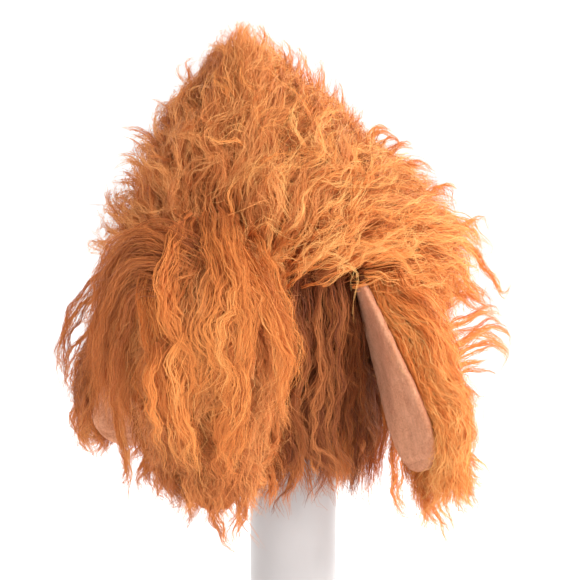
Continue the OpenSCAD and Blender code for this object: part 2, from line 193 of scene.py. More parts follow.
def ramp(tree, fac, stops):
    r = add(tree, "ShaderNodeValToRGB")
    while len(r.color_ramp.elements) < len(stops):
        r.color_ramp.elements.new(0.5)
    for e, (at, colour) in zip(r.color_ramp.elements, stops):
        e.position, e.color = at, (*colour, 1)
    tree.links.new(fac, r.inputs[0])
    return r.outputs[0]


def maths(tree, op, a, b=None, c=None, clamp=False):
    n = add(tree, "ShaderNodeMath", operation=op, use_clamp=clamp)
    for i, x in enumerate((a, b, c)):
        if x is None:
            continue
        if isinstance(x, (int, float)):
            n.inputs[i].default_value = x
        else:
            tree.links.new(x, n.inputs[i])
    return n.outputs[0]


def paint(tree, shader, fac, stops):
    tree.links.new(ramp(tree, fac, stops), shader.inputs["Base Color"])


def bump(tree, shader, height, strength, distance):
    b = add(tree, "ShaderNodeBump")
    b.inputs["Strength"].default_value = strength
    b.inputs["Distance"].default_value = distance
    tree.links.new(height, b.inputs["Height"])
    tree.links.new(b.outputs[0], shader.inputs["Normal"])


def place(tree):
    return add(tree, "ShaderNodeTexCoord").outputs["Object"]


def pile_material(name, dark, mid, light):
    """Wool pile. Across the map runs a fibre's tone, and up it the way from the root to the tip; the root is
    darkened as painted shade of the pile around it.
    """
    m, tree, shader = new_material(name, mid, 0.6)
    shader.inputs["Specular IOR Level"].default_value = 0.25
    shader.inputs["Sheen Weight"].default_value = 0.2
    shader.inputs["Sheen Roughness"].default_value = 0.4
    shader.inputs["Sheen Tint"].default_value = (1.0, 0.6, 0.28, 1)
    uv = add(tree, "ShaderNodeUVMap", uv_map=PILE_MAP).outputs[0]
    split = add(tree, "ShaderNodeSeparateXYZ")
    tree.links.new(uv, split.inputs[0])
    tone, way = split.outputs[0], split.outputs[1]
    dye = noise(tree, uv, 1.0, 5.0, 0.65, (60.0, 4.0, 1.0))
    # Painted shade: the ramp darkens each fibre towards its root, where the pile around it shades it, and
    # leaves the tip a little lighter.
    root_shade = ramp(tree, way, [(0.0, (0.12,) * 3), (0.22, (0.5,) * 3), (0.8, (0.62,) * 3)])
    streaks = maths(tree, "MULTIPLY_ADD", dye, 0.5, -0.25)
    value = maths(tree, "ADD", streaks, maths(tree, "SUBTRACT", root_shade, 0.5))
    value = maths(tree, "ADD", tone, value, clamp=True)
    paint(tree, shader, value, [(0.0, dark), (0.5, mid), (1.0, light)])
    return m


def cloth_material(name, dark, light, weave=1400.0, sheen=0.3):
    m, tree, shader = new_material(name, light, 0.9)
    shader.inputs["Sheen Weight"].default_value = sheen
    shader.inputs["Specular IOR Level"].default_value = 0.2
    at = place(tree)
    threads = noise(tree, at, weave, 2.0, 0.5)
    patches = noise(tree, at, 60.0, 4.0, 0.6)
    value = maths(tree, "MULTIPLY_ADD", threads, 0.55, maths(tree, "MULTIPLY", patches, 0.45))
    paint(tree, shader, value, [(0.3, dark), (0.7, light)])
    bump(tree, shader, threads, 0.5, 0.0006)
    return m


def velour_material(name, dark, light):
    m, tree, shader = new_material(name, light, 0.85)
    shader.inputs["Sheen Weight"].default_value = 0.3
    shader.inputs["Sheen Roughness"].default_value = 0.4
    shader.inputs["Sheen Tint"].default_value = (1.0, 0.66, 0.48, 1)
    shader.inputs["Specular IOR Level"].default_value = 0.15
    at = place(tree)
    nap = noise(tree, at, 700.0, 5.0, 0.7)
    brushed = noise(tree, at, 110.0, 6.0, 0.75, (1.0, 1.0, 0.45))
    value = maths(tree, "MULTIPLY_ADD", nap, 0.45, maths(tree, "MULTIPLY", brushed, 0.55))
    paint(tree, shader, value, [(0.34, dark), (0.62, light)])
    both = maths(tree, "MULTIPLY_ADD", brushed, 1.4, nap)
    bump(tree, shader, both, 1.0, 0.0018)
    return m


# Three copies of the same wool: the first is lightened as painted light for pile where light falls, the last
# is darkened as painted shade for pile that lies in shade, and the middle one is the wool's own colour.
PILE = {
    "bright": pile_material("pile_painted_light", (0.48, 0.120, 0.024), (0.90, 0.305, 0.070), (1.0, 0.55, 0.185)),
    "mid": pile_material("pile_mid", (0.30, 0.070, 0.016), (0.70, 0.220, 0.055), (0.96, 0.44, 0.145)),
    "deep": pile_material("pile_painted_shade", (0.07, 0.015, 0.004), (0.27, 0.066, 0.017), (0.58, 0.20, 0.058)),
}
velour = velour_material("velour", (0.60, 0.205, 0.098), (1.0, 0.500, 0.290))
# Painted shade: the cloth under the pile is coloured very dark, as the shade inside the pile, so that any gap
# between locks reads as shaded fur.
shaded_backing = cloth_material("backing_cloth", (0.09, 0.026, 0.009), (0.20, 0.062, 0.020), sheen=0.0)
# Painted shade: the body under the locks is coloured very dark, as the shade inside the pile.
undercoat = cloth_material("undercoat", (0.10, 0.027, 0.008), (0.28, 0.082, 0.023), 700.0, sheen=0.0)


def plastic_material():
    m, tree, shader = new_material("tube_plastic", (0.55, 0.52, 0.51), 0.34)
    at = place(tree)
    cloud = noise(tree, at, 18.0, 3.0, 0.5)
    paint(tree, shader, cloud, [(0.3, (0.52, 0.49, 0.482)), (0.7, (0.58, 0.548, 0.54))])
    scuffs = noise(tree, at, 60.0, 8.0, 0.75, (1.0, 1.0, 0.12))
    tree.links.new(maths(tree, "MULTIPLY_ADD", scuffs, 0.25, 0.22), shader.inputs["Roughness"])
    bump(tree, shader, noise(tree, at, 500.0, 3.0, 0.6), 0.06, 0.0004)
    return m


def foam_material():
    m, tree, shader = new_material("foam", (0.85, 0.78, 0.55), 0.95)
    at = place(tree)
    cells = add(tree, "ShaderNodeTexVoronoi")
    cells.inputs["Scale"].default_value = 900.0
    tree.links.new(at, cells.inputs["Vector"])
    depth = cells.outputs["Distance"]
    # Painted shade: the foam is darker at the middle of each pore, where its hollow is shaded.
    paint(tree, shader, depth, [(0.0, (0.45, 0.38, 0.24)), (0.5, (0.86, 0.79, 0.58))])
    bump(tree, shader, depth, 0.7, 0.0008)
    return m


def board_material():
    m, tree, shader = new_material("card_board", (0.5, 0.38, 0.22), 0.85)
    at = place(tree)
    pulp = noise(tree, at, 260.0, 7.0, 0.75, (1.0, 0.25, 1.0))
    paint(tree, shader, pulp, [(0.3, (0.34, 0.24, 0.13)), (0.7, (0.58, 0.45, 0.27))])
    bump(tree, shader, pulp, 0.3, 0.0004)
    return m


def steel_material():
    m, tree, shader = new_material("weight_steel", (0.42, 0.42, 0.43), 0.4)
    shader.inputs["Metallic"].default_value = 1.0
    at = place(tree)
    turned = noise(tree, at, 120.0, 6.0, 0.7, (0.2, 0.2, 6.0))
    paint(tree, shader, turned, [(0.3, (0.30, 0.30, 0.31)), (0.7, (0.50, 0.50, 0.51))])
    tree.links.new(maths(tree, "MULTIPLY_ADD", turned, 0.3, 0.25), shader.inputs["Roughness"])
    return m


LOOKS = {
    "white_plastic": plastic_material(),
    "steel": steel_material(),
    "foam": foam_material(),
    "black_lining": cloth_material("black_lining", (0.012, 0.012, 0.014), (0.045, 0.043, 0.046), 1800.0),
    "board": board_material(),
    "palate_cloth": cloth_material("palate_cloth", (0.14, 0.018, 0.022), (0.32, 0.05, 0.05), 1500.0),
    "velour": velour,
    "pile": PILE["mid"],
    "backing_cloth": shaded_backing,
}

for ob in nodes.values():
    old = ob.material_slots[0].material.name.split(".")[0] if ob.material_slots else ""
    if old in LOOKS:
        for slot in ob.material_slots:
            slot.material = LOOKS[old]

# ---- floor

# White paper, 8 m wide, that runs back and sweeps up to a wall.
SWEEP_AT, SWEEP_R, PAPER_HALF = 1.2, 0.8, 4000.0
sweep = np.linspace(0.1, math.pi / 2, 12)
floor_profile = [(-4.0, 0.0), (SWEEP_AT, 0.0)]
floor_profile += [(SWEEP_AT + SWEEP_R * math.sin(a), SWEEP_R - SWEEP_R * math.cos(a)) for a in sweep]
floor_profile += [(2.0, 4.0)]
corners = [(x, y / MM, z / MM) for y, z in floor_profile for x in (-PAPER_HALF, PAPER_HALF)]
strips = np.array([(2 * i, 2 * i + 1, 2 * i + 3, 2 * i + 2) for i in range(len(floor_profile) - 1)])
floor = mesh_object("floor", corners, [strips])
paper, _, paper_shader = new_material("floor_paper", (0.84, 0.84, 0.84), 0.9)
paper_shader.inputs["Emission Color"].default_value = (1, 1, 1, 1)
paper_shader.inputs["Emission Strength"].default_value = 0.46
floor.data.materials.append(paper)

# ---- shells that the pile lies on


class Shell:
    """A soft body of pile: at each height, an ellipse with the extents left, right, front and back, in mm."""

    def __init__(self, rows):
        rows = np.array(sorted(rows), float)
        self.heights, self.extents = rows[:, 0], rows[:, 1:]

    def ring(self, z):
        left, right, front, back = (np.interp(z, self.heights, self.extents[:, i]) for i in range(4))
        return (left + right) / 2, (right - left) / 2, (front + back) / 2, (back - front) / 2

    def point(self, angle, z, level=1.0):
        cx, a, cy, b = self.ring(z)
        return np.stack([cx + level * a * np.cos(angle), cy + level * b * np.sin(angle), z + 0 * angle], -1)

    def level(self, p):
        cx, a, cy, b = self.ring(p[..., 2])
        return np.hypot((p[..., 0] - cx) / a, (p[..., 1] - cy) / b)

    def put(self, p, level):
        cx, a, cy, b = self.ring(p[..., 2])
        k = level / np.maximum(self.level(p), 0.05)
        return np.stack([cx + (p[..., 0] - cx) * k, cy + (p[..., 1] - cy) * k, p[..., 2]], -1)

    def normal(self, p):
        e = 2.0
        g = [self.level(p + e * d) - self.level(p - e * d) for d in np.eye(3)]
        return unit(np.stack(g, -1))

    def facing(self, x, z, side):
        """The point of the shell at x, z; side runs from -1, the front, to 1, the back."""
        cx, a, cy, b = self.ring(z)
        u = np.clip((x - cx) / a, -0.98, 0.98)
        return np.array([x, cy + side * b * math.sqrt(1 - u * u), z])


class Flow:
    """The direction that the pile is combed in: near each guide it follows it."""

    def __init__(self, shell, guides, reach=22.0):
        """A guide is its side, from -1, the front, to 1, the back, and points: x, z and maybe an own side."""
        at, way = [], []
        for side, points in guides:
            path = np.array([shell.facing(x, z, own[0] if own else side) for x, z, *own in points])
            step, n = path[1:] - path[:-1], 4
            at.append(np.concatenate([path[:-1] + step * i / n for i in range(n)]))
            way.append(np.concatenate([unit(step)] * n))
        self.at, self.way, self.reach = np.concatenate(at), np.concatenate(way), reach

    def __call__(self, p):
        gap = ((p[:, None, :] - self.at[None]) ** 2).sum(-1)
        weight = np.exp(-gap / (2 * self.reach**2)) + 1e-5 / (gap + 50.0)
        return unit((weight[..., None] * self.way[None]).sum(1))


# Lengths of the waves in the pile, in mm, and half of the map's width that one fibre takes.
EDDY_SIZE, SWELL_SIZE = 46.0, 52.0
STRAND_WAVES, STRAY_WAVES = (12, 30), (6, 18)
MAP_HALF = 0.006
LOCK_STEPS, WISP_STEPS = 17, 21


def eddies(p, size):
    """A smooth sideways push that neighbouring locks share, so that they part and gather."""
    k = 2 * math.pi / size
    x, y, z = p[..., 0] * k, p[..., 1] * k, p[..., 2] * k
    return np.stack([
        np.sin(y + 0.7 * z + 1.0) + 0.6 * np.sin(2.3 * z - 1.9 * x),
        np.sin(0.8 * z + x + 2.1) + 0.6 * np.sin(2.1 * x + 1.7 * y + 0.5),
        0.4 * np.sin(x + 0.6 * y + 4.0),
    ], -1)


def swell(p, size):
    """From -1 in a dip between two masses of pile to 1 on a crest. Besides the pile's relief, it sets painted
    shade in the dips and painted light on the crests.
    """
    k = 2 * math.pi / size
    x, y, z = p[..., 0] * k, p[..., 1] * k, p[..., 2] * k
    broad = np.sin(x + 0.5 * np.sin(0.6 * z) + 0.4) * np.cos(0.8 * y - 0.3 * z)
    return 0.5 * (broad + np.sin(1.7 * x - 0.45 * z + y + 2.0))


def trace(shell, flow, roots, length, level0, level1, rng, wander, eddy):
    """The middle lines of locks: from the roots along the flow, rising from level0 to level1 of the shell."""
    path, step = [roots], length / (LOCK_STEPS - 1)
    drift = rng.normal(0, wander, roots.shape)
    for i in range(1, LOCK_STEPS):
        t = i / (LOCK_STEPS - 1)
        way = unit(flow(path[-1]) + drift * (0.3 + 0.9 * t) + eddy * eddies(path[-1], EDDY_SIZE))
        rise = 1 - (1 - t) ** 2.2
        path.append(shell.put(path[-1] + way * step[:, None], level0 + (level1 - level0) * rise))
    return np.stack(path, 1)


def frames(paths, normals):
    """The sideways and outward directions at each point of each path."""
    ahead = unit(np.gradient(paths, axis=1))
    side = unit(np.cross(ahead, normals))
    return side, unit(np.cross(side, ahead))


def along(paths, t):
    """Points of each path at t, an array (paths, points) from 0 to 1 or a little beyond."""
    n = paths.shape[1] - 1
    at = np.clip(t, 0, None) * n
    low = np.clip(np.floor(at).astype(int), 0, n - 1)
    k = (at - low)[..., None]
    rows = np.arange(len(paths))[:, None]
    return paths[rows, low] * (1 - k) + paths[rows, low + 1] * k


def ribbons(paths, side, up, half_width, spin, u):
    """Flat fibres along the paths, each turned by spin about its own length. u is its tone on the map."""
    count, rings = paths.shape[:2]
    across = np.cos(spin)[:, None, None] * side + np.sin(spin)[:, None, None] * up
    reach = half_width[..., None] * across
    verts = np.stack([paths - reach, paths + reach], 2)
    base = (np.arange(count)[:, None] * rings + np.arange(rings - 1)) * 2
    quads = np.stack([base, base + 1, base + 3, base + 2], -1).reshape(-1, 4)
    v = np.linspace(0.01, 0.99, rings)
    low, high = v[:-1][None], v[1:][None]
    left, right = u[:, None] - MAP_HALF, u[:, None] + MAP_HALF
    uv = np.stack(np.broadcast_arrays(left, low, right, low, right, high, left, high), -1).reshape(-1, 8)
    return verts.reshape(-1, 3), quads, uv


def fibres(paths, side, up, rng, wide, thick, tone, *, strands, each, radius, frizz, crimp, rings, clump,
           spread):
    """The wool of each lock: strands that each have their own wave, and fibres that stray from them.

    wide and thick are the lock's half widths, radius a fibre's and spread a strand's, in mm. crimp and
    frizz are the waves of a strand and of a fibre. clump is the lock's width left at its tip."""
    n = len(paths)
    g = n * strands
    lock = np.repeat(np.arange(n), strands)
    angle, far = rng.uniform(0, 2 * math.pi, g), np.sqrt(rng.uniform(0, 1, g))
    ga, gb = far * np.cos(angle) * wide[lock], far * np.sin(angle) * thick[lock]
    g_reach, g_size = rng.uniform(0.72, 1.06, g), rng.uniform(0.5, 1.5, g) * crimp
    g_wave, g_phase = rng.uniform(*STRAND_WAVES, g), rng.uniform(0, 7, (2, g))
    f = g * each
    strand = np.repeat(np.arange(g), each)
    rep = lock[strand]
    t = np.linspace(0, 1, rings)[None]
    reach = (g_reach[strand] * rng.uniform(0.8, 1.04, f))[:, None]
    at = t * reach
    p, s, o = along(paths[rep], at), along(side[rep], at), along(up[rep], at)
    length = np.linalg.norm(np.diff(paths, axis=1), axis=-1).sum(1)[rep][:, None]
    body = np.interp(t, [0, 0.2, 0.7, 1], [0.5, 1.0, 0.9, clump])
    wave = 2 * math.pi * at * length / g_wave[strand][:, None]
    swing = g_size[strand][:, None] * (0.3 + 0.9 * t)
    a = ga[strand][:, None] * body + swing * np.sin(wave + g_phase[0][strand][:, None])
    b = gb[strand][:, None] * body + 0.6 * swing * np.sin(1.2 * wave + g_phase[1][strand][:, None])
    own, far = rng.uniform(0, 2 * math.pi, f), spread * rng.exponential(0.75, f)
    tight = np.interp(t, [0, 0.25, 0.75, 1], [0.7, 1.0, 0.8, 0.9])
    a += (far * np.cos(own))[:, None] * tight
    b += (far * np.sin(own))[:, None] * tight
    stray = frizz * rng.exponential(0.8, f)[:, None] * (0.25 + 0.9 * t)
    fine = 2 * math.pi * at * length / rng.uniform(*STRAY_WAVES, f)[:, None]
    a += stray * np.sin(fine + rng.uniform(0, 7, f)[:, None])
    b += stray * np.sin(1.3 * fine + rng.uniform(0, 7, f)[:, None])
    p = p + a[..., None] * s + b[..., None] * o
    taper = np.interp(t, [0, 0.1, 0.7, 1], [0.8, 1.0, 0.85, 0.3])
    r = (radius * rng.uniform(0.7, 1.25, f))[:, None] * taper
    u = np.clip(tone[rep] + rng.normal(0, 0.07, g)[strand] + rng.normal(0, 0.10, f), 0.02, 0.98)
    return ribbons(p, s, o, r, rng.normal(0, 0.6, f), u)


def waved(paths, side, up, rng, amount, wavelength, curl):
    """The locks' own waves, and the curl at their tips."""
    n, steps = paths.shape[:2]
    length = np.linalg.norm(np.diff(paths, axis=1), axis=-1).sum(1)
    t = np.linspace(0, 1, steps)[None]
    phase = 2 * math.pi * t * (length / rng.uniform(0.75 * wavelength, 1.3 * wavelength, n))[:, None]
    size = amount * rng.uniform(0.3, 1.3, n)[:, None] * (0.25 + 0.75 * t)
    a = size * np.sin(phase + rng.uniform(0, 7, n)[:, None])
    b = 0.6 * size * np.sin(phase + rng.uniform(0, 7, n)[:, None])
    hook = curl * rng.normal(0, 1, n)[:, None] * np.clip(t - 0.6, 0, 1) ** 2 * 6.25
    lift = curl * rng.uniform(-0.2, 0.9, n)[:, None] * np.clip(t - 0.65, 0, 1) ** 2 * 6.25
    return paths + (a + hook)[..., None] * side + (b + lift)[..., None] * up


def wool(name, body, parts, looks):
    """One piece of pile from several lots of fibres."""
    starts = np.cumsum([0] + [len(v) for v, _, _ in parts[:-1]])
    faces = np.concatenate([q + start for (_, q, _), start in zip(parts, starts)])
    verts = kept_in(np.concatenate([v for v, _, _ in parts]))
    ob = mesh_object(name, verts, [faces], uvs=[np.concatenate([uv for _, _, uv in parts])])
    ob.data.materials.append(PILE[looks])
    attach(ob, body)
    return ob


def pile(name, body, shell, flow, roots, length, rng, *, looks="mid", levels=(0.82, 1.02), wander=0.2,
         wide=(3.5, 8.0), thick=(1.6, 3.4), strands=6, each=8, radius=0.16, frizz=0.6, crimp=0.9, wave=3.0,
         spread=1.35, wavelength=34.0, curl=6.0, tone=0.5, fuzz=0.5, clump=0.8, eddy=0.32, relief=0.05):
    """One piece of pile: locks that start at roots and are combed along the flow.

    levels is where in the shell the tips lie. fuzz is the share of locks that also carry loose fibres."""
    n = len(roots)
    crest = swell(roots, SWELL_SIZE)
    level0, level1 = shell.level(roots), rng.uniform(*levels, n) + relief * crest
    paths = trace(shell, flow, roots, length, level0, level1, rng, wander, eddy)
    side, up = frames(paths, shell.normal(paths))
    paths = waved(paths, side, up, rng, wave, wavelength, curl)
    side, up = frames(paths, up)
    w, h = rng.uniform(*wide, n), rng.uniform(*thick, n)
    # Painted shade and light: the tone is lowered in the dips between masses of pile and raised on the
    # crests.
    tones = np.clip(tone + 0.17 * crest + rng.normal(0, 0.12, n), 0.04, 0.92)
    hair = dict(radius=radius, crimp=crimp, rings=11)
    parts = [fibres(paths, side, up, rng, w, h, tones, strands=strands, each=each, frizz=frizz, clump=clump,
                    spread=spread, **hair)]
    if fuzz:
        k = rng.random(n) < fuzz
        parts.append(fibres(paths[k], side[k], up[k], rng, w[k] * 1.6, h[k] * 1.9, tones[k] + 0.1,
                            strands=4, each=2, frizz=frizz * 3.0, clump=1.5, spread=1.6, **hair))
    return wool(name, body, parts, looks)


def scattered(rng, shell, n, angles, heights, level):
    """Roots inside the shell, between two angles in degrees and two heights."""
    tries = n * 6
    angle = np.radians(rng.uniform(*angles, tries))
    z = rng.uniform(*heights, tries)
    cx, a, cy, b = shell.ring(z)
    girth = a + b
    keep = rng.random(tries) < girth / girth.max()
    angle, z = angle[keep][:n], z[keep][:n]
    return shell.point(angle, z, rng.uniform(*level, len(z)))


def coat(name, *, body, shell, flow, seed, locks, angles, heights, length, root_level, cap=None, **more):
    """A piece of pile whose roots are scattered over part of a shell. cap limits the length by the root."""
    rng = np.random.default_rng(seed)
    roots = scattered(rng, shell, locks, angles, heights, root_level)
    long = rng.uniform(*length, len(roots))
    if cap:
        long = np.minimum(long, cap(roots))
    return pile(name, body, shell, flow, roots, long, rng, **more)


def curve(points):
    """A smooth path through given points."""
    p = np.array(points, float)
    at = np.concatenate([[0], np.cumsum(np.linalg.norm(np.diff(p, axis=0), axis=1))])
    slope = np.gradient(p, at, axis=0)
    t = np.linspace(0, at[-1], WISP_STEPS)
    i = np.clip(np.searchsorted(at, t, "right") - 1, 0, len(p) - 2)
    gap = (at[i + 1] - at[i])[:, None]
    k = (t - at[i])[:, None] / gap
    a, b = 2 * k**3 - 3 * k**2 + 1, -2 * k**3 + 3 * k**2
    c, d = (k**3 - 2 * k**2 + k) * gap, (k**3 - k**2) * gap
    return a * p[i] + c * slope[i] + b * p[i + 1] + d * slope[i + 1]


def wisps(name, body, seed, routes, *, looks="mid", tone=0.5, copies=4, jitter=3.4, wide=(0.9, 2.6),
          wave=1.8, strands=4, each=5, spread=0.8, frizz=0.7):
    """Single locks along listed routes of x, z and maybe y, each with near copies of itself."""
    rng = np.random.default_rng(seed)
    paths = np.array([curve([(x, y[0] if y else 0.0, z) for x, z, *y in route]) for route in routes])
    paths = np.repeat(paths, copies, axis=0)
    n = len(paths)
    t = np.linspace(0, 1, WISP_STEPS)[None, :, None]
    paths = paths + rng.normal(0, jitter, (n, 1, 3)) * (1 - 0.6 * t)
    paths = paths + rng.normal(0, 0.6 * jitter, (n, 1, 3)) * t
    paths = paths + 0.5 * jitter * t * eddies(paths + rng.normal(0, 40, (n, 1, 3)), SWELL_SIZE)
    side, up = frames(paths, np.broadcast_to([0.0, -1.0, 0.0], paths.shape))
    paths = waved(paths, side, up, rng, wave, wavelength=26.0, curl=2.0)
    side, up = frames(paths, up)
    w = rng.uniform(*wide, n)
    tones = np.clip(tone + rng.normal(0, 0.12, n), 0.05, 0.92)
    parts = [fibres(paths, side, up, rng, w, 0.7 * w, tones, strands=strands, each=each, radius=0.15,
                    frizz=frizz, crimp=0.8, rings=15, clump=0.35, spread=spread)]
    return wool(name, body, parts, looks)


# ---- the mane

MANE = Shell([
    (428, -40, -26, -10, 14), (412, -45, -22, -18, 24), (400, -49, -15, -28, 34), (390, -54, -7, -36, 42),
    (378, -62, 4, -48, 52), (363, -78, 25, -60, 62), (345, -88, 43, -72, 72), (323, -96, 72, -84, 82),
    (300, -107, 94, -95, 90), (286, -111, 103, -99, 92), (270, -110, 106, -99, 93),
    (255, -107, 103, -95, 93), (220, -100, 88, -86, 88), (190, -96, 80, -82, 84), (160, -90, 72, -78, 76),
    (120, -78, 60, -70, 64),
])
MANE_GUIDES = [
    (-1, [(-101, 262), (-110, 280), (-116, 292), (-121, 296)]),
    (-1, [(-91, 270), (-100, 292), (-106, 311), (-107, 330)]),
    (-1, [(-78, 272), (-81, 305), (-78, 336), (-70, 368), (-66, 392)]),
    (-1, [(-59, 272), (-62, 305), (-59, 336), (-50, 368), (-45, 398)]),
    (-1, [(-43, 280), (-40, 330), (-32, 362), (-28, 400), (-25, 425)]),
    (-1, [(-34, 276), (-24, 311), (-12, 336), (-3, 362), (3, 384)]),
    (-1, [(-18, 276), (-2, 311), (11, 336), (21, 356), (32, 371)]),
    (-1, [(2, 270), (14, 295), (24, 324), (36, 343), (45, 357)]),
    (-1, [(17, 268), (33, 300), (52, 320), (68, 326), (82, 320)]),
    (-1, [(27, 264), (49, 284), (74, 293), (95, 282), (106, 262)]),
    (-1, [(40, 256), (62, 262), (86, 252), (98, 226)]),
    (0, [(-95, 285, -0.5), (-112, 300, 0), (-110, 285, 0.5), (-100, 250, 0.8), (-88, 210, 0.9)]),
    (0, [(80, 285, -0.6), (98, 290, 0), (98, 262, 0.5), (86, 222, 0.8)]),
    (0, [(-34, 412, -0.2), (-28, 392, 0.7), (-22, 350, 1), (-18, 300, 1), (-15, 240, 1), (-14, 160, 1)]),
    (0, [(-62, 375, 0), (-78, 345, 0.6), (-88, 310, 0.9), (-86, 262, 1), (-78, 215, 1), (-74, 160, 1)]),
    (0, [(10, 378, 0), (40, 340, 0.6), (60, 305, 0.9), (62, 262, 1), (58, 215, 1), (54, 160, 1)]),
]

CROWN_TOP, CROWN_SHORTEST, CROWN_SLOPE = 400, 16, 1.15


def crown_cap(roots):
    """Towards the top of the crown the locks get shorter."""
    return CROWN_SHORTEST + CROWN_SLOPE * np.maximum(CROWN_TOP - roots[:, 2], 0)


mane = partial(coat, body="head", shell=MANE, flow=Flow(MANE, MANE_GUIDES), root_level=(0.70, 0.80),
               cap=crown_cap)
COMBED = dict(eddy=0.16, wander=0.13, wave=3.6, wavelength=40.0, relief=0.07, wide=(3.0, 7.0), clump=0.5)
# Fluffed pile for the right side: it takes the lightened copy of the wool, painted light for the side that
# the light falls on.
LIT_FLUFF = dict(looks="bright", frizz=1.1, wide=(5.0, 9.0), thick=(2.6, 5.0), clump=1.25, crimp=1.3, spread=1.8,
             fuzz=0.8)
HALO = dict(wide=(0.6, 2.4), thick=(0.6, 2.4), strands=3, each=4, frizz=1.0, crimp=1.5, levels=(1.0, 1.14),
            fuzz=0, wander=0.5, eddy=0.6, curl=13.0, root_level=(0.86, 0.96), clump=0.9, spread=0.9,
            radius=0.14)
HAZE = dict(wide=(3.0, 9.0), thick=(2.0, 5.0), strands=6, each=1, frizz=2.2, crimp=1.2, fuzz=0, wander=0.6,
            eddy=0.5, curl=9.0, clump=1.4, spread=2.5, radius=0.11, wave=4.0)
mane("mane_front_left", seed=11, locks=185, angles=(-168, -112), heights=(254, 376), length=(60, 115),
     tone=0.48, **COMBED)
front = mane("mane_front_middle", seed=12, locks=185, angles=(-112, -74), heights=(256, 385),
             length=(60, 120), **COMBED)
mane("mane_front_right", seed=13, locks=165, angles=(-74, -30), heights=(250, 372), length=(55, 100),
     tone=0.02, **LIT_FLUFF)
right = mane("mane_side_right", seed=14, locks=165, angles=(-30, 30), heights=(246, 360), length=(50, 90),
             tone=0.52, **LIT_FLUFF)
left = mane("mane_side_left", seed=15, locks=185, angles=(152, 196), heights=(250, 372), length=(50, 95),
            tone=0.45)
# The back-right piece and the halo and haze on the right take the lightened copy of the wool, painted light
# for the side that the light falls on.
mane("mane_back_right", seed=16, locks=185, angles=(30, 92), heights=(245, 395), length=(70, 115),
     looks="bright", tone=0.38)
back = mane("mane_back_left", seed=17, locks=185, angles=(88, 152), heights=(245, 395), length=(70, 115))
mane("mane_top", seed=18, locks=110, angles=(-180, 180), heights=(350, 382), length=(24, 50), tone=0.6,
     root_level=(0.2, 0.8), levels=(0.5, 1.2), curl=9.0, wide=(1.5, 4.5), strands=4, clump=0.4)
mane("mane_halo_left", seed=19, locks=430, angles=(110, 250), heights=(255, 392), length=(26, 54), tone=0.62,
     **HALO)
mane("mane_halo_right", seed=20, locks=430, angles=(-110, 70), heights=(250, 392), length=(26, 54),
     looks="bright", tone=0.6, **HALO)
mane("mane_haze_left", seed=26, locks=300, angles=(150, 270), heights=(250, 392), length=(30, 70), tone=0.66,
     levels=(1.0, 1.1), **HAZE)
mane("mane_haze_right", seed=27, locks=420, angles=(-90, 60), heights=(250, 392), length=(30, 70),
     looks="bright", tone=0.66, levels=(1.0, 1.12), **HAZE)
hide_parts("fur_forehead")
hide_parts("fur_crown_left")
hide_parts("fur_crown_right")
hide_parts("fur_crown_back")

nape = mane("nape_left", seed=21, locks=178, angles=(95, 175), heights=(170, 262), length=(50, 85), tone=0.45)
mane("nape_right", seed=22, locks=178, angles=(15, 95), heights=(170, 262), length=(50, 85))
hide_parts("fur_nape")
mane("mane_crown_back", seed=29, locks=90, angles=(10, 170), heights=(378, 402), length=(24, 46),
     root_level=(0.78, 0.98), levels=(0.86, 1.1))

# The crown, side and right wisps take the lightened copy of the wool, painted light for locks on the top and
# right of the mane where the light falls.
wisps("wisps_crown", "head", 23, [
    [(-33, 366), (-38, 398), (-31, 420)], [(-26, 366), (-19, 400), (-22, 419)],
    [(-41, 360), (-46, 390), (-39, 410)],
    [(-48, 352), (-52, 382), (-46, 400)], [(-16, 362), (-7, 390), (-11, 406)],
    [(-7, 356), (5, 384), (1, 402)],
    [(3, 348), (12, 374), (16, 391)], [(-30, 360), (-34, 396), (-28, 421)],
    [(-24, 360), (-30, 392), (-24, 412)],
    [(-36, 362), (-30, 394), (-34, 414)], [(-30, 364), (-26, 394), (-30, 408)],
], looks="bright", copies=7, jitter=4.0)
wisps("wisps_sides", "head", 28, [
    [(13, 340), (22, 368), (24, 386)], [(26, 332), (37, 354), (40, 364)],
    [(-50, 350), (-62, 374), (-68, 390), (-60, 394)],
    [(-60, 344), (-78, 362), (-88, 366)], [(-76, 324), (-94, 345), (-106, 346)],
    [(-86, 300), (-104, 318), (-114, 318)],
    [(38, 330), (57, 348), (66, 342)], [(56, 314), (78, 329), (90, 322)], [(74, 298), (97, 311), (106, 303)],
    [(-56, 352), (-62, 372), (-72, 382)], [(-46, 358), (-52, 378), (-58, 394)],
    [(20, 340), (34, 358), (32, 372)],
    [(-80, 312), (-100, 332), (-110, 334)], [(46, 322), (66, 340), (76, 336)],
], looks="bright")
wisps("wisps_right", "head", 24, [
    [(88, 286), (108, 277), (122, 262), (133, 248), (139, 256)],
    [(86, 272), (108, 260), (120, 240), (129, 247)],
    [(84, 298), (106, 292), (119, 278), (121, 266)], [(88, 280), (104, 284), (118, 292), (126, 286)],
    [(84, 262), (104, 250), (114, 236), (124, 230)],
], looks="bright", copies=3, jitter=2.6)
# A broad roll of pile arches from the brow over the left ear.
wisps("left_arch", "head", 25, [
    [(-50, 260, -98), (-64, 272, -105), (-82, 281, -99), (-98, 273, -85), (-111, 248, -71),
     (-119, 220, -61), (-122, 190, -57)],
    [(-54, 252, -102), (-70, 263, -108), (-87, 267, -100), (-100, 253, -87), (-109, 230, -75),
     (-113, 202, -65), (-112, 176, -59)],
    [(-60, 244, -106), (-75, 253, -109), (-88, 251, -100), (-96, 233, -89), (-101, 208, -79),
     (-104, 182, -71), (-103, 164, -65)],
], tone=0.36, copies=12, jitter=4.6, wide=(4.0, 8.5), wave=2.6, strands=5, each=8, spread=1.8, frizz=1.2)

# ---- muzzle and beard

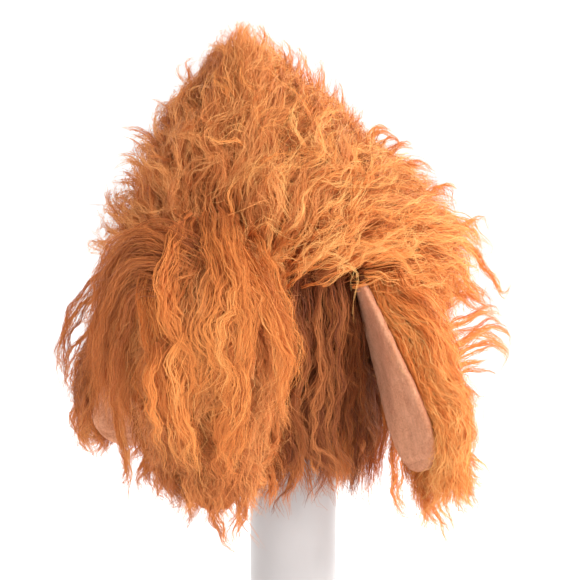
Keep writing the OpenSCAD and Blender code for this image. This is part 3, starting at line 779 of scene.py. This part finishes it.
FACE = Shell([
    (308, -66, -30, -70, -44), (292, -74, -22, -92, -36), (278, -84, -12, -106, -28),
    (266, -90, -6, -114, -20), (248, -94, -2, -121, -12), (225, -95, 0, -124, -8), (200, -95, -1, -124, -8),
    (175, -92, -5, -121, -12), (151, -85, -11, -114, -20), (137, -80, -17, -107, -28),
    (120, -70, -24, -96, -42), (104, -60, -30, -84, -54), (88, -50, -35, -76, -62),
])
FACE_GUIDES = [
    (-1, [(-59, 274), (-69, 241), (-73, 203), (-64, 165), (-51, 120), (-46, 95)]),
    (-1, [(-43, 276), (-50, 241), (-56, 209), (-65, 177), (-51, 139), (-43, 112)]),
    (-1, [(-31, 275), (-16, 241), (-6, 209), (-11, 184), (-29, 158), (-37, 133), (-38, 100)]),
    (-1, [(-84, 266), (-87, 235), (-89, 203), (-85, 165), (-75, 140), (-60, 112)]),
    (-1, [(-20, 190), (-19, 160), (-26, 133), (-36, 100)]),
    (1, [(-48, 270), (-48, 200), (-48, 120)]),
]
face = partial(coat, shell=FACE, flow=Flow(FACE, FACE_GUIDES, reach=16.0), root_level=(0.66, 0.82))
BROAD = dict(wide=(4.5, 10.0), thick=(2.0, 4.6), wave=4.6, wavelength=44.0, wander=0.28, eddy=0.42, strands=8,
             each=6)
muzzle = face("muzzle_pile", body="head", seed=31, locks=170, angles=(-190, 60), heights=(234, 300),
              length=(50, 100), **BROAD)
face("muzzle_fringe", body="head", seed=32, locks=150, angles=(-190, 60), heights=(236, 296), length=(30, 66),
     tone=0.36, levels=(0.9, 1.1))
beard = face("beard_front", body="jaw", seed=33, locks=160, angles=(-176, 6), heights=(162, 226),
             length=(35, 64), tone=0.4, **BROAD)
face("beard_tips", body="jaw", seed=34, locks=130, angles=(-180, 8), heights=(142, 184), length=(18, 40),
     tone=0.34, curl=10.0, wave=3.8, levels=(0.75, 1.1))
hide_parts("fur_muzzle")
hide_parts("fur_beard")
# The forelocks take the lightened copy of the wool, painted light for the front locks that stand out into the
# light.
wisps("forelocks", "head", 35, [
    [(-36, 285, -88), (-30, 273, -104), (-22, 258, -114), (-12, 240, -120), (-7, 224, -122),
     (-5, 205, -122), (-14, 184, -122)],
    [(-44, 288, -88), (-42, 272, -108), (-34, 250, -122), (-28, 226, -128), (-36, 202, -128),
     (-44, 180, -127)],
    [(-56, 288, -88), (-62, 272, -106), (-68, 250, -118), (-61, 226, -126), (-53, 204, -127),
     (-62, 182, -127)],
    [(-70, 286, -84), (-78, 270, -98), (-84, 246, -106), (-79, 222, -112), (-84, 198, -112),
     (-76, 176, -112)],
    [(-30, 270, -104), (-40, 250, -120), (-48, 228, -128), (-44, 206, -129), (-54, 186, -128)],
    [(-66, 220, -127), (-72, 196, -127), (-66, 172, -124), (-60, 150, -116)],
    [(-40, 214, -129), (-34, 190, -128), (-42, 166, -124), (-38, 146, -114)],
], looks="bright", tone=0.3, copies=8, jitter=5.5, wide=(3.0, 7.0), wave=4.2, strands=5, each=7, spread=1.7,
      frizz=1.2)
face("muzzle_haze", body="head", seed=37, locks=300, angles=(-190, 60), heights=(230, 294), length=(30, 70),
     tone=0.62, levels=(0.98, 1.08), **HAZE)
face("beard_haze", body="jaw", seed=38, locks=260, angles=(-176, 6), heights=(150, 226), length=(24, 50),
     tone=0.55, levels=(0.98, 1.08), **HAZE)
wisps("beard_wisps", "jaw", 36, [
    [(-82, 160, -70), (-80, 144, -72), (-74, 132, -72), (-73, 122, -72)],
    [(-64, 146, -84), (-61, 126, -84), (-62, 110, -82)],
    [(-48, 134, -90), (-46, 112, -88), (-38, 96, -86)], [(-26, 138, -80), (-29, 118, -80), (-36, 97, -78)],
    [(-16, 150, -76), (-11, 134, -74), (-15, 120, -74)],
], jitter=3.0)

# ---- cheeks and neck fringe

CHEEK = Shell([
    (280, -68, 45, -70, 46), (262, -72, 48, -76, 52), (228, -72, 48, -76, 52), (200, -72, 48, -68, 52),
    (160, -70, 46, -66, 50), (135, -64, 40, -60, 44), (115, -56, 34, -52, 38),
])
CHEEK_GUIDES = [
    (-1, [(-50, 262), (-52, 200), (-50, 130)]),
    (-1, [(2, 262), (-4, 215), (-10, 170), (-16, 125)]),
    (-1, [(18, 262), (14, 220), (4, 185), (-2, 150), (2, 125)]),
    (-1, [(30, 262), (26, 225), (25, 180), (22, 150), (26, 125)]),
    (0, [(44, 262, -0.3), (43, 200, -0.3), (38, 130, -0.3)]),
    (1, [(-12, 262), (-12, 200), (-12, 130)]),
]
cheek = partial(coat, body="head", shell=CHEEK, flow=Flow(CHEEK, CHEEK_GUIDES), root_level=(0.86, 0.94))
# The cheeks lie recessed under the mane and muzzle: their short pile takes the darkened copy of the wool,
# painted shade.
SHORT_SHADED = dict(looks="deep", tone=0.45, heights=(176, 286), length=(40, 76), levels=(1.02, 1.14),
             thick=(1.0, 2.2), wave=2.2)
cheek_right = cheek("cheek_right", seed=41, locks=178, angles=(-112, 15), **SHORT_SHADED)
cheek_left = cheek("cheek_left", seed=42, locks=120, angles=(165, 250), **SHORT_SHADED)
cheek("neck_fringe", seed=43, locks=178, angles=(-180, 180), heights=(160, 182), length=(30, 56), tone=0.3,
      levels=(0.86, 1.06), curl=8.0)
# Painted shade: the cheek locks also take the darkened copy of the wool, as they lie in the cheek's recess.
wisps("cheek_locks", "head", 44, [
    [(20, 262, -70), (26, 240, -74), (24, 215, -72), (26, 190, -70), (22, 165, -66), (27, 140, -62)],
    [(6, 262, -78), (2, 236, -80), (10, 210, -78), (2, 180, -74), (8, 150, -70), (2, 128, -66)],
    [(14, 258, -74), (12, 232, -76), (16, 205, -74), (10, 176, -70), (14, 146, -66)],
], looks="deep", tone=0.66, copies=6, jitter=4.0, wide=(2.0, 4.5), wave=2.6)
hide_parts("fur_right_cheek")
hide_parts("fur_left_cheek")

# ---- ears

EAR_LENGTH, EAR_HALF, EAR_ROOT_HALF, EAR_LOOP = 122.0, 29.0, 17.0, 3.2
HEAD_YAW, EAR_TWIST, EAR_SPLAY, EAR_RAKE = (math.radians(a) for a in (30, 43, 18, 11))
ROOT_TURN = math.radians(7)


def ear_matrix(joint, sign):
    """The ear's own frame: it hangs along -Z, pile on +X. sign is 1 for the right ear, -1 for the left."""
    at = Vector(joints[joint]["pos_m"]) / MM
    m = Matrix.Translation(at) @ Matrix.Rotation(-HEAD_YAW + sign * EAR_TWIST, 4, "Z")
    m = m @ Matrix.Rotation(-sign * EAR_SPLAY, 4, "Y") @ Matrix.Rotation(-EAR_RAKE, 4, "X")
    return np.array(m @ Matrix.Diagonal((sign, 1, 1, 1)))


# Each ear's frame, the twist of its blade down to the tip and how far the tip bends outward.
EARS = {
    "right_ear": (ear_matrix("right_ear_swing", 1), math.radians(15), -2.0),
    "left_ear": (ear_matrix("left_ear_swing", -1), math.radians(6), 2.0),
}
WIDEST, TIP_POWER = 0.6, 3.2


def ear_half(t):
    """Half the blade's width, t from 0 at the root to 1 at the tip."""
    grown = np.sin(np.radians(90 * np.minimum(t, WIDEST) / WIDEST))
    blade = EAR_ROOT_HALF + (EAR_HALF - EAR_ROOT_HALF) * grown
    past = np.maximum(t - WIDEST, 0) / (1 - WIDEST)
    tip = EAR_HALF * np.sqrt(np.clip(1 - past**TIP_POWER, 0, 1))
    return np.where(t < WIDEST, blade, tip)


def bent(p, turn, out):
    """The ear twists about its own length, from a small turn back at the root, and bends outward."""
    t = np.clip(-p[..., 2] / EAR_LENGTH, 0, 1.2)
    a = turn * t**1.3 - ROOT_TURN * (1 - np.minimum(t, 1)) ** 2
    x, y, c, s = p[..., 0], p[..., 1], np.cos(a), np.sin(a)
    return np.stack([x * c - y * s + out * t * t, x * s + y * c, p[..., 2]], -1)


PUFF, ROLL_WIDTH = 2.9, 3.0
SEAM_AT, SEAM_WIDTH, SEAM_RISE = 3.6, 0.9, 0.9


def ear_body(name, body):
    """The stuffed blade: velour on the front, with a rolled edge and a seam beside it."""
    matrix, turn, out = EARS[body]
    rows, cols = 72, 34
    t = np.linspace(0, 1, rows) ** 0.9
    w = np.sin(np.linspace(-math.pi / 2, math.pi / 2, cols))
    half = np.maximum(ear_half(np.clip(t, 0, 0.996)), 1.5)[:, None]
    y = half * w[None]
    z = np.broadcast_to((-EAR_LOOP - t * (EAR_LENGTH - EAR_LOOP))[:, None], y.shape)
    edge = np.minimum(half * (1 - np.abs(w[None])), (1 - t[:, None]) * 60)
    puff = PUFF * np.clip(edge / ROLL_WIDTH, 0, 1) ** 0.5
    seam = SEAM_RISE * np.exp(-(((edge - SEAM_AT) / SEAM_WIDTH) ** 2))
    rolls = 0.8 * np.sin(z / 9.0 + 2 * np.sin(y / 14.0)) * np.clip(edge / 10, 0, 1)
    stitches = 0.25 * np.sin(z * 0.9 + 3.1 * np.sin(z * 0.23))
    rolls = rolls + stitches * np.exp(-(((edge - ROLL_WIDTH) / 2.5) ** 2))
    front = -(puff - seam) + rolls
    back = puff + rolls
    a, b = np.stack([front, y, z], -1), np.stack([back, y, z], -1)
    verts = np.concatenate([a.reshape(-1, 3), b.reshape(-1, 3)])
    i = (np.arange(rows - 1)[:, None] * cols + np.arange(cols - 1)).ravel()
    layer = rows * cols
    front_quads = np.stack([i, i + 1, i + cols + 1, i + cols], -1)
    back_quads = front_quads[:, ::-1] + layer
    rim = np.concatenate([
        np.arange(cols - 1), cols - 1 + cols * np.arange(rows - 1), layer - 1 - np.arange(cols - 1),
        (rows - 1 - np.arange(rows - 1)) * cols,
    ])
    after = np.roll(rim, -1)
    rim_quads = np.stack([after, rim, rim + layer, after + layer], -1)
    verts = bent(verts, turn, out) @ matrix[:3, :3].T + matrix[:3, 3]
    ob = mesh_object(name, verts, [front_quads, back_quads, rim_quads])
    bm = bmesh.new()
    bm.from_mesh(ob.data)
    bmesh.ops.remove_doubles(bm, verts=bm.verts, dist=1e-5)
    bmesh.ops.recalc_face_normals(bm, faces=bm.faces)
    bm.to_mesh(ob.data)
    bm.free()
    ob.data.materials.append(velour)
    smooth = ob.modifiers.new("smooth", "SUBSURF")
    smooth.levels = smooth.render_levels = 1
    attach(ob, body)
    return ob


EAR_PILE = Shell([
    (8, -3, 22, -22, 22), (-6, -3, 34, -26, 26), (-30, -3, 46, -31, 31), (-60, -3, 44, -36, 36),
    (-95, -3, 36, -36, 36), (-120, -3, 28, -31, 31), (-140, -2, 22, -24, 24), (-165, 2, 15, -13, 13),
])
EAR_GUIDES = [
    (0, [(18, 0, 0), (30, -30, 0), (38, -70, 0), (36, -110, 0), (26, -150, 0)]),
    (-1, [(12, -5), (16, -40), (18, -90), (14, -140)]),
    (1, [(12, -5), (16, -40), (18, -90), (14, -140)]),
]
ear_flow = Flow(EAR_PILE, EAR_GUIDES, reach=18.0)


# The pile stays behind this distance from the middle of the blade, so that none comes through the lining.
PILE_BEHIND = 3.6


def ear_pile(name, body, *, seed, locks, heights, length, **more):
    matrix, turn, out = EARS[body]
    rng = np.random.default_rng(seed)
    tries = locks * 2
    angle = np.radians(rng.uniform(-92, 92, tries))
    z = rng.uniform(*heights, tries)
    roots = EAR_PILE.point(angle, z, rng.uniform(0.2, 0.84, tries))
    roots[:, 0] = 4 + (roots[:, 0] - 4) * rng.uniform(0.1, 1, tries)
    roots = roots[roots[:, 0] > PILE_BEHIND][:locks]
    long = rng.uniform(*length, len(roots))
    ob = pile(name, body, EAR_PILE, ear_flow, roots, long, rng, levels=(0.7, 1.06), **more)
    co = np.empty(len(ob.data.vertices) * 3)
    ob.data.vertices.foreach_get("co", co)
    local = co.reshape(-1, 3) / MM
    inside = ear_half(np.clip(-local[:, 2] / EAR_LENGTH, 0, 0.999)) + 3 - np.abs(local[:, 1])
    inside = np.minimum(inside, EAR_LENGTH + 2 + local[:, 2])
    local[:, 0] += np.clip(inside / 5, 0, 1) * np.maximum(PILE_BEHIND - local[:, 0], 0)
    p = kept_in(bent(local, turn, out) @ matrix[:3, :3].T + matrix[:3, 3])
    ob.data.vertices.foreach_set("co", (p * MM).ravel())
    if np.linalg.det(matrix[:3, :3]) < 0:
        ob.data.flip_normals()
    ob.data.update()
    return ob


right_blade = ear_body("right_ear_blade", "right_ear")
left_blade = ear_body("left_ear_blade", "left_ear")
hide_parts("right_ear_rim", "right_ear_lining", "right_ear_wadding", "right_ear_skin")
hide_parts("left_ear_rim", "left_ear_lining", "left_ear_wadding", "left_ear_skin")
# The right ear's pile and wisps take the lightened copy of the wool, painted light for the ear that the light
# falls on.
right_fur = ear_pile("right_ear_pile", "right_ear", seed=53, locks=170, heights=(-84, 4), length=(40, 80),
                     **LIT_FLUFF)
ear_pile("right_ear_locks", "right_ear", seed=54, locks=150, heights=(-122, -60), length=(24, 44), **LIT_FLUFF)
left_fur = ear_pile("left_ear_pile", "left_ear", seed=55, locks=160, heights=(-75, 2), length=(40, 70))
ear_pile("left_ear_locks", "left_ear", seed=56, locks=120, heights=(-112, -60), length=(18, 30), curl=6.0)
wisps("right_ear_wisps", "right_ear", 58, [
    [(94, 206), (108, 214), (124, 224), (136, 218), (138, 208)], [(98, 190), (112, 202), (128, 202)],
    [(96, 172), (110, 184), (124, 180)], [(92, 176), (104, 158), (116, 142), (134, 126)],
    [(84, 150), (92, 128), (93, 106), (101, 92), (98, 82)], [(92, 146), (104, 132), (113, 112)],
    [(66, 150), (64, 136), (65, 118), (71, 106), (78, 109)], [(92, 240), (110, 248), (122, 240), (128, 232)],
    [(94, 216), (112, 226), (128, 230), (138, 222)],
    [(90, 198), (108, 208), (126, 214), (136, 206), (130, 198)],
    [(84, 152), (100, 134), (114, 122), (128, 118)], [(80, 140), (86, 120), (84, 104), (90, 92)],
], looks="bright")
wisps("left_ear_wisps", "left_ear", 59, [
    [(-118, 254), (-134, 238), (-146, 218), (-149, 202), (-141, 184)],
    [(-122, 226), (-138, 206), (-144, 190), (-138, 176)],
    [(-112, 168), (-107, 146), (-103, 130), (-106, 118)], [(-96, 166), (-89, 142), (-92, 126), (-86, 118)],
    [(-104, 172), (-98, 150), (-99, 132)], [(-124, 196), (-134, 176), (-138, 158), (-134, 150)],
    [(-98, 160), (-94, 140), (-99, 124), (-96, 114)], [(-86, 158), (-82, 138), (-86, 120), (-82, 108)],
], copies=5)
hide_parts("right_ear_fur")
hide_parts("left_ear_fur")

# The left ear's covering locks rise from its root, arch over and hang down in front of the lining.
COVER = Shell([
    (295, -90, -70, -34, 6), (284, -104, -62, -44, 12), (270, -114, -60, -50, 16),
    (250, -124, -64, -52, 20), (228, -131, -74, -50, 22), (200, -136, -82, -46, 22),
    (175, -138, -86, -44, 22), (150, -136, -88, -42, 20), (120, -126, -92, -38, 14),
])
COVER_GUIDES = [
    (-1, [(-66, 268), (-81, 284), (-99, 277), (-113, 252), (-122, 215), (-127, 175), (-128, 150)]),
    (-1, [(-64, 258), (-78, 272), (-93, 262), (-104, 235), (-112, 200), (-116, 165)]),
    (-1, [(-66, 250), (-80, 250), (-90, 225), (-96, 190), (-98, 155), (-96, 125)]),
    (1, [(-80, 284), (-104, 262), (-116, 215), (-120, 160)]),
]
# Painted shade: the covering locks take a low tone, as they hang in shade over the left ear.
coat("left_ear_cover", body="left_ear", shell=COVER, flow=Flow(COVER, COVER_GUIDES, reach=14.0), seed=57,
     locks=170, angles=(-150, -20), heights=(212, 288), length=(40, 66), root_level=(0.62, 0.84), tone=0.22,
     levels=(0.85, 1.04), wide=(4.5, 9.0), wave=3.6)

# ---- undercoat: a dark body under the locks, coloured as painted shade


def undercoat_shell(name, body, shell, *, level, low, high, seed):
    """A closed, lumpy body under the locks, from height low to height high at one level of their shell, dark
    as the painted shade inside the pile.
    """
    rng = np.random.default_rng(seed)
    rows, cols = 40, 72
    z = np.linspace(low, high, rows)
    ang = np.linspace(0, 2 * math.pi, cols, endpoint=False)
    g, h = np.meshgrid(ang, z)
    lumps = 0.02 * np.sin(9 * g + 3 * np.sin(h / 17.0)) + 0.015 * np.sin(23 * g + h / 9.0)
    lumps = lumps + rng.normal(0, 0.006, g.shape)
    ends = np.interp(z, [low, low + 12, high - 12, high], [0.55, 1, 1, 0.55])[:, None]
    p = shell.point(g, h, level * ends * (1 + lumps))
    verts = np.concatenate([p.reshape(-1, 3), p[:1].mean(1), p[-1:].mean(1)])
    c = np.arange(cols)
    lower = np.stack([(c + 1) % cols, c, np.full(cols, rows * cols)], -1)
    last = (rows - 1) * cols
    upper = np.stack([last + c, last + (c + 1) % cols, np.full(cols, rows * cols + 1)], -1)
    ob = mesh_object(name, verts, [grid(rows, cols, closed=False), lower, upper])
    ob.data.materials.append(undercoat)
    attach(ob, body)
    return ob


undercoat_shell("undercoat_mane", "head", MANE, level=0.74, low=262, high=388, seed=61)
undercoat_shell("undercoat_muzzle", "head", FACE, level=0.84, low=229, high=286, seed=63)
undercoat_shell("undercoat_beard", "jaw", FACE, level=0.7, low=120, high=222, seed=64)

# ---- neck hem and hand sleeve


def gathered_ring(name, node, slot, profile, axis, *, folds, depth, seed):
    """Cloth gathered around an upright axis, in place of a CAD node of the head.

    The profile is a closed ring of (radius, height, share of the folds' depth), in mm."""
    rng = np.random.default_rng(seed)
    a = np.linspace(0, 2 * math.pi, 8 * folds, endpoint=False)
    phase = rng.uniform(0, 7, 3)
    fold = np.sin(folds * a + 1.3 * np.sin(3 * a + phase[0]))
    fold = fold + 0.5 * np.sin(int(1.7 * folds) * a + phase[1])
    r, z, free = np.array(profile, float).T
    radius = r[:, None] + depth * free[:, None] * fold[None]
    height = z[:, None] + 0.4 * depth * free[:, None] * np.sin(2 * folds * a + phase[2])[None]
    verts = np.stack([axis[0] + radius * np.cos(a), axis[1] + radius * np.sin(a), height], -1)
    ob = mesh_object(name, verts, [grid(*radius.shape, closed=True)])
    ob.data.materials.append(LOOKS[slot])
    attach(ob, "head")
    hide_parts(node)
    return ob


def node_box(name):
    """The lowest and highest corner of a CAD node, in mm."""
    ob = nodes[name]
    corners = np.array([ob.matrix_world @ Vector(c) for c in ob.bound_box]) / MM
    return corners.min(0), corners.max(0)


OUTER_GAP, INNER_GAP, TAKEN_UP = 0.1, 1.2, 1.03
low, high = node_box("hand_sleeve")
sleeve_axis, sleeve_r = (low[:2] + high[:2]) / 2, (high[0] - low[0]) / 2
heights = np.linspace(low[2], high[2] - 3, 16)
outside = [(sleeve_r - OUTER_GAP, z, 0.25 + 0.5 * math.sin(i)) for i, z in enumerate(heights)]
inside = [(sleeve_r - INNER_GAP, z, free) for _, z, free in reversed(outside)]
sleeve = gathered_ring("hand_sleeve_lining", "hand_sleeve", "black_lining", outside + inside, sleeve_axis,
                       folds=24, depth=0.5, seed=71)

low, high = node_box("neck_hem")
hem_axis, hem_r, hem_z = (low[:2] + high[:2]) / 2, (high[0] - low[0]) / 2, (low[2] + high[2]) / 2
turns = np.linspace(0, 2 * math.pi, 14, endpoint=False)
roll = [(hem_r - 2.2 + 2.1 * math.cos(t), hem_z + 2.2 * math.sin(t), 1.0) for t in turns]
# The hem roll takes the dark cloth of the pile's underside, whose colour is painted shade.
hem = gathered_ring("neck_hem_roll", "neck_hem", "backing_cloth", roll, hem_axis, folds=40, depth=0.35,
                    seed=72)
